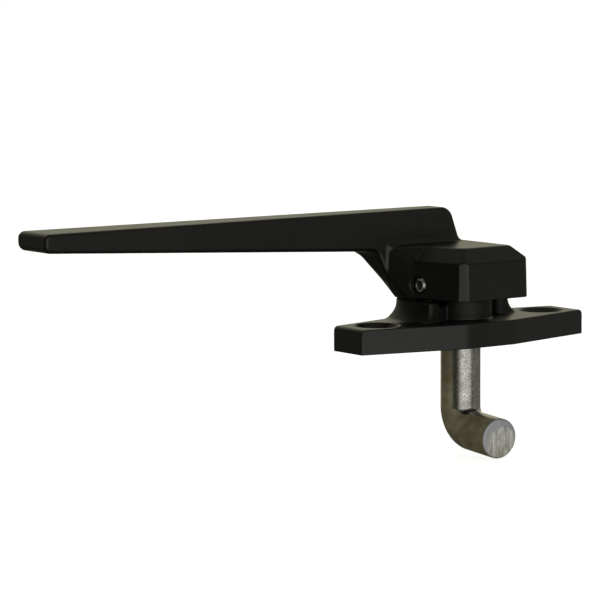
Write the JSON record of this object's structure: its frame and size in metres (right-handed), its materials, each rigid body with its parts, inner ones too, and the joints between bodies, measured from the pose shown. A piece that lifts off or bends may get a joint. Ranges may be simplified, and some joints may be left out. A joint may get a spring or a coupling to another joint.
{
  "type": "sash lift handle",
  "caption": "Lever handle for a sash: a low lever on a pedestal plate turns a round bar, whose bent end under the plate is a short crank pin that lifts or draws the sash.",
  "frame": {"origin": "on the spindle's axis, in the plane of the base plate's underside, which lies on the window", "axes": "+Z out of the window towards the lever, along the spindle; +X along the base plate, so that the lever at rest points to -X; the crank pin points to -Y"},
  "size_m": [0.1528, 0.0353, 0.0605],
  "materials": {
    "black_coat": "fine-grained satin black powder coat over a zinc die casting",
    "bar_steel": "zinc-plated steel, slightly yellowed, with draw marks along the bar and a sheared end",
    "screw_steel": "bright plated steel",
    "bush": "natural acetal",
    "spring_steel": "oiled blue-grey spring steel"
  },
  "bodies": {
    "base": {"base_plate": "black_coat", "bearing_bush": "bush", "thrust_washer": "bar_steel", "wave_washer": "spring_steel"},
    "crank": {"handle": "black_coat", "spindle": "bar_steel", "set_screw": "screw_steel", "retaining_ring": "spring_steel"}
  },
  "joints": [
    {"name": "lever_turn", "type": "hinge", "parent": "base", "child": "crank", "pos_m": [0, 0, 0], "axis": [0, 0, 1], "range_deg": [0, 90]}
  ]
}
